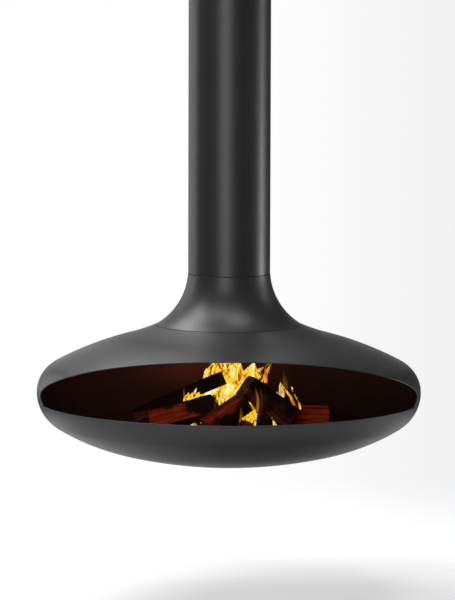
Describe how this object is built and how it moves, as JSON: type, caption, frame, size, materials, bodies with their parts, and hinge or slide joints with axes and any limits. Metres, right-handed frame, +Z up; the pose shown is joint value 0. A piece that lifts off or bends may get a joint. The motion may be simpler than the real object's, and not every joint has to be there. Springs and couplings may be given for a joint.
{
  "type": "hanging fireplace",
  "caption": "Suspended wood-burning fireplace: lens-shaped steel hearth with a wide front mouth, turning on a ball bearing at the foot of its flue tube.",
  "frame": {"origin": "centre of the ceiling plate's top face, where it meets the ceiling", "axes": "+Z up along the flue, the mouth looks along -Y, +X to the right of someone who faces the mouth"},
  "size_m": [1.108, 1.105, 2.2527],
  "materials": {
    "shell_paint": "satin heat-resistant black",
    "dark_steel": "matte black primer",
    "stainless_steel": "mill finish",
    "polished_steel": "ground and polished",
    "bearing_brass": "turned",
    "glass_rope": "braided glass fibre",
    "sooted_steel": "sooted",
    "cast_iron": "as cast, sooted",
    "fire_wood": "split, scorched",
    "charred_wood": "charred"
  },
  "bodies": {
    "ceiling_fixing": {"ceiling_plate": "dark_steel", "hanging_collar": "dark_steel", "collar_screws": "stainless_steel", "flue_spigot": "stainless_steel", "spigot_screws": "stainless_steel", "liner_rivets": "stainless_steel", "ceiling_rose": "shell_paint", "rose_screws": "dark_steel", "outer_tube": "shell_paint", "flue_liner": "stainless_steel", "liner_spacers": "stainless_steel", "support_ring": "dark_steel", "lower_race": "polished_steel", "seal_rope": "glass_rope"},
    "ball_ring": {"bearing_balls": "polished_steel", "ball_cage": "bearing_brass"},
    "hearth": {"upper_race": "polished_steel", "swivel_sleeve": "dark_steel", "hub_ring": "dark_steel", "ring_nut": "stainless_steel", "neck": "shell_paint", "joint_ring": "dark_steel", "hood": "shell_paint", "bowl": "shell_paint", "hearth_plate": "sooted_steel", "plate_feet": "dark_steel", "pan_ring": "dark_steel", "damper_bushes": "bearing_brass"},
    "damper": {"damper_spindle": "stainless_steel", "damper_blade": "dark_steel", "blade_screws": "stainless_steel", "spring_washer": "stainless_steel", "damper_lever": "dark_steel", "lever_screw": "stainless_steel", "damper_knob": "polished_steel"},
    "ash_pan": {"ash_pan": "dark_steel"},
    "grate": {"fire_grate": "cast_iron", "log_high": "charred_wood", "log_left": "fire_wood", "log_front": "fire_wood", "log_right": "charred_wood", "log_end": "fire_wood", "billet_low": "charred_wood", "billet_top": "charred_wood", "billet_left": "charred_wood", "billet_front": "charred_wood", "billet_right": "fire_wood"}
  },
  "joints": [
    {"name": "swivel_turn", "type": "hinge", "parent": "ceiling_fixing", "child": "hearth", "pos_m": [0, 0, -1.5584], "axis": [0, 0, 1], "continuous": true},
    {"name": "cage_turn", "type": "hinge", "parent": "ceiling_fixing", "child": "ball_ring", "pos_m": [0, 0, -1.5584], "axis": [0, 0, 1], "continuous": true},
    {"name": "damper_turn", "type": "hinge", "parent": "hearth", "child": "damper", "pos_m": [0, 0, -1.698], "axis": [-1, 0, 0], "range_deg": [0, 90]},
    {"name": "pan_lift", "type": "slide", "parent": "hearth", "child": "ash_pan", "axis": [0, 0, 1], "range_m": [0, 0.058]},
    {"name": "grate_lift", "type": "slide", "parent": "ash_pan", "child": "grate", "axis": [0, 0, 1], "range_m": [0, 0.014]}
  ],
  "couplings": [
    {"joint": "cage_turn", "follows": "swivel_turn", "ratio": 0.5}
  ]
}
